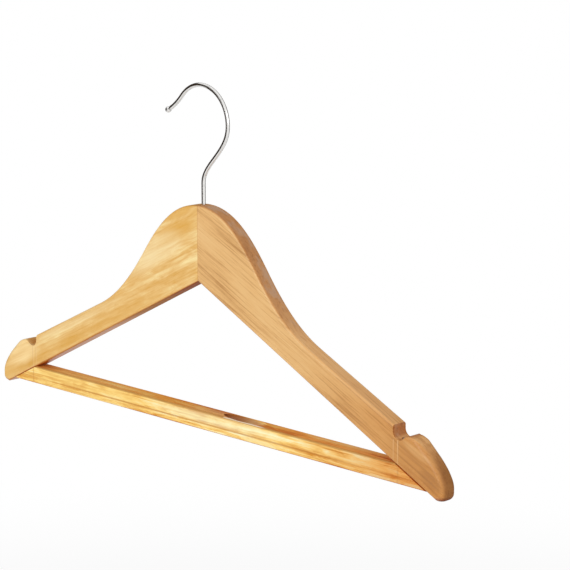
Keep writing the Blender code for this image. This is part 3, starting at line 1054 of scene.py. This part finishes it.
def bar_marks(tree, place, _upper_cut, colour):
    """Painted shade along the score line and the top edge, painted shade in the dish's hollow and a
    painted highlight on its lip, and the pegs' ends.
    """
    axes = axes_of(tree, place)
    along, height = axes["X"], axes["Z"]
    face_y = BOARD_THICKNESS / 2
    front = on_front(tree, axes, BAR_SKIN)
    faded = below(tree, unsigned(tree, along), SCORE_FADE, SCORE_FADE / 2)
    # Painted shade along the scored groove, fading towards both ends
    score = band(tree, height, BAR_BOTTOM_Z + SCORE_RISE, SCORE_SHADE_WIDTH)
    score = times(tree, score, front, between(tree, faded, *SCORE_SHARE))
    colour = blend(tree, score, colour, SCORE_PAINTED_SHADE)
    # Painted shade along the rounded upper front edge
    upper_edge = below(tree, axes["Y"], EDGE_SHADE_WIDTH - face_y, EDGE_SHADE_FADE)
    rounding = ramp(tree, height, BAR_TOP_Z - BAR_ROUNDING, BAR_TOP_Z - BAR_ROUNDING * 0.6)
    upper_edge = times(tree, upper_edge, rounding)
    colour = blend(tree, times(tree, upper_edge, EDGE_SHARE), colour, EDGE_PAINTED_SHADE)
    # Painted shade in the dish, deepest at its seam-side end
    in_reach = below(tree, along, DISH_START + DISH_LENGTH * 0.9, DISH_LENGTH * 0.2)
    in_reach = times(tree, in_reach, ramp(tree, along, DISH_START - MILLIMETRE, DISH_START))
    sunk = below(tree, height, BAR_TOP_Z - MILLIMETRE * 0.5, MILLIMETRE * 0.45)
    within = below(tree, unsigned(tree, axes["Y"]), face_y - DISH_LIP, MILLIMETRE * 0.1)
    deep_end = below(tree, along, DISH_START + DISH_LENGTH * 0.2, DISH_LENGTH * 0.7)
    hollow = times(tree, in_reach, sunk, within, between(tree, deep_end, *HOLLOW_SHARE))
    colour = blend(tree, hollow, colour, HOLLOW_PAINTED_SHADE)
    # Painted highlight on the front lip beside the dish
    crest = ramp(tree, height, BAR_TOP_Z - BAR_ROUNDING * 0.5, BAR_TOP_Z - BAR_ROUNDING * 0.35)
    highlit = ramp(tree, along, DISH_START + DISH_LIP * 7, DISH_START + DISH_LIP * 12)
    lip = times(tree, in_reach, highlit, upper_edge, crest, LIP_SHARE)
    colour = blend(tree, lip, colour, LIP_PAINTED_HIGHLIGHT)
    for side in (-1, 1):
        peg = band(tree, along, side * (NOTCH_OUT - PEG_IN_FROM_NOTCH / 4), LINE_WIDTH * 2)
        colour = blend(tree, times(tree, peg, front, PEG_END_SHARE), colour, PEG_BROWN)
    return colour


def wood(name, grain_turn, offset, look, cut, spots, raggedness, marks, figured=None):
    """Lacquered timber with its own spots and marks, some of them painted light and shade; the wavy
    figure stays round one place.
    """
    material, tree, shader = new_material(name)
    place = add(tree, "TexCoord").outputs["Object"]
    turn = {0: place, "Location": offset, "Rotation": (0, grain_turn, 0)}
    inputs = {"Vector": add(tree, "Mapping", turn).outputs[0], **look}
    if figured:
        distance = vector_maths(tree, "DISTANCE", place, figured)["Value"]
        far_away = ramp(tree, distance, FIGURE_CORE, FIGURE_REACH)
        figure = look["Figure"]
        inputs["Figure"] = between(tree, far_away, figure, figure * FIGURE_LEFT_FAR_OUT)
    timber = place_group(tree, WOOD_GROUP, inputs)
    inputs = {"Colour": timber["Colour"], "Vector": place, **cut}
    for socket, layer in (("Rim", "rim"), ("Across Grain", "end_grain"), ("Under", "under")):
        inputs[socket] = add(tree, "Attribute", attribute_name=layer).outputs["Fac"]
    # Sawn tone mixed with painted light and shade
    sawn = place_group(tree, CUT_WOOD_AND_SHADE_GROUP, inputs)
    polish = timber["Polish"]
    colour = add_spots(tree, place, polish, spots, grain_turn, raggedness, sawn["Colour"])
    colour = marks(tree, place, sawn["Upper Cut"], colour)
    rough = scaled(tree, polish, GRAIN_ROUGHNESS, LACQUER_ROUGHNESS)
    bump = {"Height": timber["Height"], "Strength": GRAIN_BUMP, "Distance": GRAIN_DEPTH}
    fill(tree, shader, {
        "Base Color": colour,
        "Roughness": scaled(tree, sawn["Cut"], CUT_ROUGHNESS, rough),
        "Specular IOR Level": SHEEN,
        "Coat Weight": between(tree, sawn["Cut"], COAT, CUT_COAT),
        "Coat Roughness": COAT_ROUGHNESS,
        "Normal": add(tree, "Bump", bump).outputs[0],
    })
    return material


def metal(name, colour, roughness, scratches):
    """Plated or bare metal with fine drawing marks and dulled patches."""
    material, tree, shader = new_material(name)
    place = add(tree, "TexCoord").outputs["Object"]
    inputs = {"Vector": place, "Plating": (*colour, 1), "Polish": roughness}
    look = place_group(tree, METAL_GROUP, inputs)
    bump = {"Height": look["Height"], "Strength": scratches, "Distance": SCRATCH_DEPTH}
    fill(tree, shader, {
        "Base Color": look["Colour"],
        "Roughness": look["Roughness"],
        "Metallic": 1,
        "Normal": add(tree, "Bump", bump).outputs[0],
    })
    return material


def dress(obj, material):
    obj.data.materials.clear()
    obj.data.materials.append(material)


def piece(obj, body, node):
    """Puts a piece on its body, in place of a node of the part."""
    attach(obj, body)
    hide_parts(node)


# Studio round the set


def soft_light(name, place, size, power):
    deselect()
    bpy.ops.object.light_add(type="AREA", location=place)
    lamp = named(bpy.context.object, name)
    lamp.data.size = size
    lamp.data.energy = power
    lamp.rotation_euler = (LIGHT_AIM - Vector(place)).to_track_quat("-Z", "Y").to_euler()


def seen_directly(tree):
    """1 for rays from the camera or a mirror or glass, 0 for the light that falls on things."""
    path = add(tree, "LightPath").outputs
    seen = maths(tree, "MAXIMUM", path["Is Camera Ray"], path["Is Glossy Ray"])
    return maths(tree, "MAXIMUM", seen, path["Is Transmission Ray"])


def build_world():
    world = bpy.data.worlds.new("white_studio")
    bpy.context.scene.world = world
    world.use_nodes = True
    tree = world.node_tree
    strength = between(tree, seen_directly(tree), SKY_FILL, 1)
    fill(tree, tree.nodes["Background"], {"Color": WHITE, "Strength": strength})


def build_floor():
    """Pale floor that takes a shadow below the hanger and fades into the white further out."""
    deselect()
    bpy.ops.mesh.primitive_plane_add(size=FLOOR_SIZE, location=(0, 0, FLOOR_Z))
    floor = named(bpy.context.object, "studio_floor")
    material, tree, shader = new_material("pale_floor")
    fill(tree, shader, {"Base Color": FLOOR_GREY, "Roughness": 0.9})
    glow = add(tree, "Emission", {"Color": WHITE, "Strength": 1.0}).outputs[0]
    distance = vector_maths(tree, "LENGTH", add(tree, "TexCoord").outputs["Object"])["Value"]
    white = between(tree, ramp(tree, distance, *FLOOR_FADE), FLOOR_WHITE, 1)
    share = times(tree, seen_directly(tree), white)
    mixed = add(tree, "MixShader", {0: share, 1: shader.outputs[0], 2: glow}).outputs[0]
    fill(tree, tree.nodes["Material Output"], {"Surface": mixed})
    dress(floor, material)


def dark_card(name, first_turn, last_turn, material):
    """Upright dark board beside the set, between two turns about Z. Only reflections show it."""
    deselect()
    middle = (first_turn + last_turn) / 2
    x, y = CARD_DISTANCE * math.cos(middle), CARD_DISTANCE * math.sin(middle)
    bpy.ops.mesh.primitive_plane_add(size=1, location=(x, y, CARD_HEIGHT / 2 + CARD_FOOT_Z))
    card = named(bpy.context.object, name)
    card.scale = (2 * CARD_DISTANCE * math.tan((last_turn - first_turn) / 2), CARD_HEIGHT, 1)
    card.rotation_euler = (math.pi / 2, 0, middle + math.pi / 2)
    for kind in ("camera", "diffuse", "transmission", "shadow"):
        setattr(card, "visible_" + kind, False)
    dress(card, material)


def build_lights():
    soft_light("front_softbox", (-0.35, -1.9, 0.35), size=1.3, power=19.5)
    soft_light("side_softbox", (1.8, -0.5, 0.5), size=1.0, power=8)
    material, tree, shader = new_material("dark_card")
    fill(tree, shader, {"Base Color": CARD_BROWN, "Roughness": 1.0, "Specular IOR Level": 0})
    for name, (first_turn, last_turn) in CARD_TURNS.items():
        dark_card(name, math.radians(first_turn), math.radians(last_turn), material)


def build_camera():
    deselect()
    bpy.ops.object.camera_add(location=CAMERA_PLACE)
    camera = named(bpy.context.object, "photo_camera")
    right = Vector((math.cos(CAMERA_AZIMUTH), math.sin(CAMERA_AZIMUTH), 0))
    level = math.cos(CAMERA_ELEVATION)
    back = Vector((right.y * level, -right.x * level, math.sin(CAMERA_ELEVATION)))
    up = back.cross(right)
    turned_right = right * math.cos(CAMERA_ROLL) + up * math.sin(CAMERA_ROLL)
    turned_up = back.cross(turned_right)
    camera.rotation_euler = Matrix((turned_right, turned_up, back)).transposed().to_euler()
    camera.data.lens = CAMERA_LENS
    camera.data.sensor_width = CAMERA_SENSOR
    camera.data.clip_start, camera.data.clip_end = CAMERA_CLIP
    bpy.context.scene.camera = camera


# The set
bpy.context.scene.view_settings.view_transform = "Standard"
build_camera()
build_world()
build_floor()
build_lights()

# Colours of the timbers' spots; the notch's dark brown is painted shade and one bar colour is a
# painted highlight
GOLD = (0.74, 0.39, 0.07, 1)
CREAM = (0.93, 0.72, 0.38, 1)
PALE = (1.0, 0.74, 0.36, 1)
RUSSET = (0.50, 0.22, 0.06, 1)
HONEY = (0.86, 0.52, 0.22, 1)
BROWN = (0.32, 0.13, 0.04, 1)
NOTCH_PAINTED_SHADE = (0.66, 0.25, 0.01, 1)
AMBER = (1.0, 0.72, 0.23, 1)
BAR_PAINTED_HIGHLIGHT = (1.0, 0.94, 0.58, 1)

# Timber of each stick
GRAIN_TILT = math.radians(25.5)
THROUGH = 1
left_spots = (
    ((-0.021, -0.099), (0.026, THROUGH, 0.008), GOLD, 0.9),
    ((-0.018, -0.085), (0.020, THROUGH, 0.005), GOLD, 0.8),
    ((-0.038, -0.1125), (0.032, THROUGH, 0.012), CREAM, 0.7),
    ((-0.058, -0.1260), (0.026, THROUGH, 0.009), CREAM, 0.6),
    ((-0.128, -0.1755), (0.062, THROUGH, 0.0055), CREAM, 0.5),
    ((-0.085, -0.1700), (0.085, THROUGH, 0.009), GOLD, 0.35),
    ((-0.200, -0.209), (0.030, THROUGH, 0.017), PALE, 0.75),
    ((-0.208, -0.229), (0.022, THROUGH, 0.007), GOLD, 0.5),
    ((-0.155, -0.203), (0.045, THROUGH, 0.009), GOLD, 0.35),
    # Painted shade inside the left notch
    ((-0.1860, -0.2005), (0.009, 0.0075, 0.008), NOTCH_PAINTED_SHADE, 0.95),
)
right_spots = (
    ((0.198, -0.219), (0.036, THROUGH, 0.016), RUSSET, 0.5),
    ((0.197, -0.2095), (0.016, THROUGH, 0.0032), HONEY, 0.4),
    ((0.209, -0.2255), (0.013, THROUGH, 0.0055), BROWN, 0.5),
    ((0.199, -0.2215), (0.026, THROUGH, 0.0011), BROWN, 0.5),
    ((0.201, -0.2175), (0.020, THROUGH, 0.0010), BROWN, 0.4),
    ((0.190, -0.2105), (0.022, THROUGH, 0.0010), BROWN, 0.35),
)
bar_spots = (
    ((-0.130, -0.2260), (0.090, THROUGH, 0.012), AMBER, 0.5),
    # Painted highlight along the upper middle of the bar's front
    ((0.015, -0.2240), (0.075, THROUGH, 0.005), BAR_PAINTED_HIGHLIGHT, 0.6),
)
left_timber = {
    "Light Wood": (0.95, 0.75, 0.36, 1),
    "Middle Wood": (0.82, 0.51, 0.18, 1),
    "Dark Wood": (0.70, 0.36, 0.06, 1),
    "Ring Spacing": 0.0065, "Rings": 0.05, "Waviness": 0.016,
    "Patches": 1.0, "Streaks": 1.3, "Fine Lines": 0.22, "Figure": 1.3,
}
right_timber = {
    "Light Wood": (0.88, 0.60, 0.28, 1),
    "Middle Wood": (0.78, 0.46, 0.18, 1),
    "Dark Wood": (0.48, 0.23, 0.07, 1),
    "Ring Spacing": 0.0042, "Rings": 0.0, "Waviness": 0.007,
    "Patches": 0.6, "Streaks": 0.35, "Fine Lines": 0.30, "Figure": 0.3,
}
bar_timber = {
    "Light Wood": (1.0, 0.92, 0.52, 1),
    "Middle Wood": (1.0, 0.66, 0.19, 1),
    "Dark Wood": (0.72, 0.30, 0.03, 1),
    "Ring Spacing": 0.005, "Rings": 0.06, "Waviness": 0.008,
    "Patches": 1.2, "Streaks": 2.8, "Fine Lines": 0.40, "Figure": 1.6,
}
# Sawn tone with painted shade for each stick, and painted shade towards the right-hand end of the
# right arm and the bar
left_cut_and_shade = {"Cut Tone And Painted Shade": (0.66, 0.48, 0.36, 1)}
right_cut_and_shade = {
    "Cut Tone And Painted Shade": (0.80, 0.60, 0.48, 1), "Far Painted Shade": (0.79, 0.58, 0.36, 1), "Nose Share": 1.0,
}
bar_cut_and_shade = {
    "Cut Tone And Painted Shade": (0.94, 0.57, 0.23, 1), "Far Painted Shade": (0.77, 0.49, 0.34, 1), "Side Share": 0.8,
}

# Finishes
left_wood = wood(
    "left_arm_wood", GRAIN_TILT, (0.31, 0.12, 0.05), left_timber, left_cut_and_shade, left_spots,
    raggedness=2.6, marks=arm_marks, figured=(-0.03, 0, -0.105),
)
right_wood = wood(
    "right_arm_wood", -GRAIN_TILT, (0.02, 0.31, 0.27), right_timber, right_cut_and_shade, right_spots,
    raggedness=2.6, marks=arm_marks,
)
bar_wood = wood(
    "bar_wood", 0.0, (0.4, 0.22, 0.11), bar_timber, bar_cut_and_shade, bar_spots,
    raggedness=3.2, marks=bar_marks,
)
chrome = metal("chrome_wire", (0.80, 0.79, 0.77), roughness=0.16, scratches=0.12)
steel = metal("plain_steel", (0.45, 0.45, 0.45), roughness=0.38, scratches=0.3)

# Pieces
board = model_board()
left_arm = model_arm(board, -1, "left_arm_wood")
right_arm = model_arm(board, 1, "right_arm_wood")
bpy.data.objects.remove(board)
finish_wood(left_arm, Vector((math.cos(GRAIN_TILT), 0, math.sin(GRAIN_TILT))))
finish_wood(right_arm, Vector((math.cos(GRAIN_TILT), 0, -math.sin(GRAIN_TILT))))
dress(left_arm, left_wood)
dress(right_arm, right_wood)
piece(left_arm, "wooden_frame", "left_arm")
piece(right_arm, "wooden_frame", "right_arm")

trouser_bar = model_bar()
finish_wood(trouser_bar, Vector((1, 0, 0)))
dress(trouser_bar, bar_wood)
piece(trouser_bar, "wooden_frame", "trouser_bar")

wire_hook = model_hook()
smooth(wire_hook)
dress(wire_hook, chrome)
piece(wire_hook, "hook_body", "hook")

for node in ("hook_washer", "left_bar_nail", "right_bar_nail"):
    dress(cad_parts[node], steel)

deselect()
